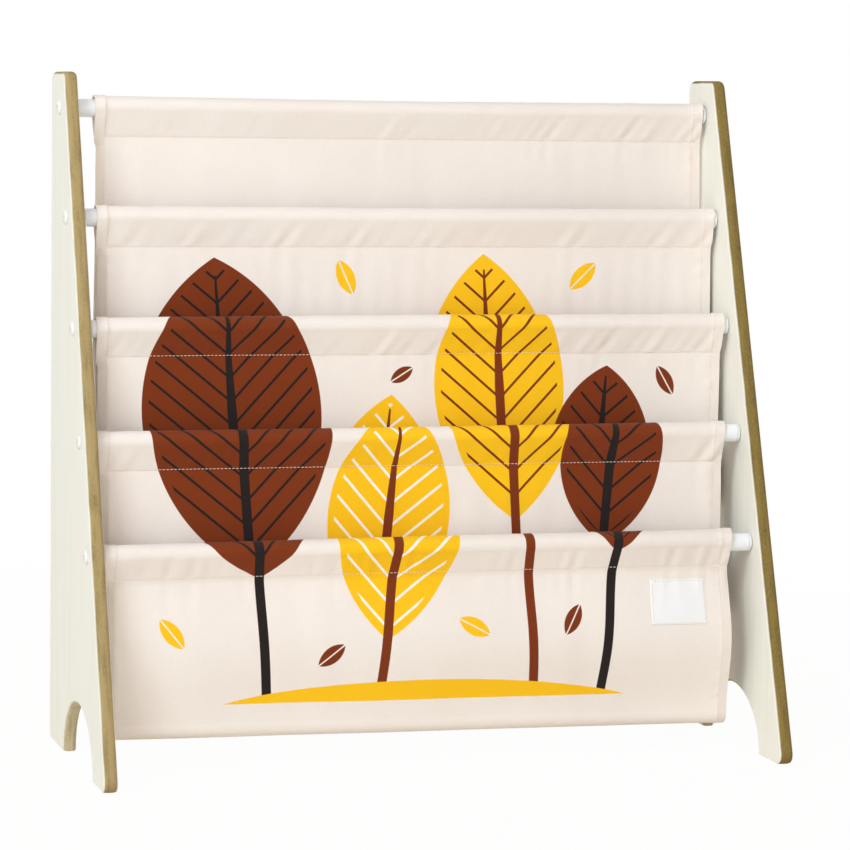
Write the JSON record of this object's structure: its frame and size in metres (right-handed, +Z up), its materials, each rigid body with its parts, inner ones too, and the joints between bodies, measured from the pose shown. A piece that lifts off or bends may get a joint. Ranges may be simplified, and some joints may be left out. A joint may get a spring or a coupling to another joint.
{
  "type": "sling bookshelf",
  "caption": "Low children's book rack: two board side panels, rods bolted between them, and a cloth cover that hangs over the rods as deep book pockets.",
  "frame": {"origin": "on the floor, midway between the side panels and midway between the front of the toes and the back edges", "axes": "+Z up, +X to the right as seen from the front, and the front faces -Y"},
  "size_m": [0.6154, 0.2686, 0.595],
  "materials": {
    "board": "pale laminated board with bare, rounded edges",
    "rod_paint": "white satin powder coat",
    "plug": "white moulded plastic",
    "bolt": "white painted screw head",
    "cover": "cream plain-weave canvas with a printed design",
    "label": "white woven label, left bare"
  },
  "bodies": {
    "root": {"left_side_panel": "board", "right_side_panel": "board", "rod_1": "rod_paint", "left_plug_1": "plug", "left_bolt_1": "bolt", "right_plug_1": "plug", "right_bolt_1": "bolt", "rod_2": "rod_paint", "left_plug_2": "plug", "left_bolt_2": "bolt", "right_plug_2": "plug", "right_bolt_2": "bolt", "rod_3": "rod_paint", "left_plug_3": "plug", "left_bolt_3": "bolt", "right_plug_3": "plug", "right_bolt_3": "bolt", "rod_4": "rod_paint", "left_plug_4": "plug", "left_bolt_4": "bolt", "right_plug_4": "plug", "right_bolt_4": "bolt", "rod_5": "rod_paint", "left_plug_5": "plug", "left_bolt_5": "bolt", "right_plug_5": "plug", "right_bolt_5": "bolt", "tunnel_1": "cover", "tunnel_2": "cover", "tunnel_3": "cover", "tunnel_4": "cover", "tunnel_5": "cover", "sling_1": "cover", "sling_2": "cover", "sling_3": "cover", "sling_4": "cover", "label": "label"}
  },
  "joints": []
}
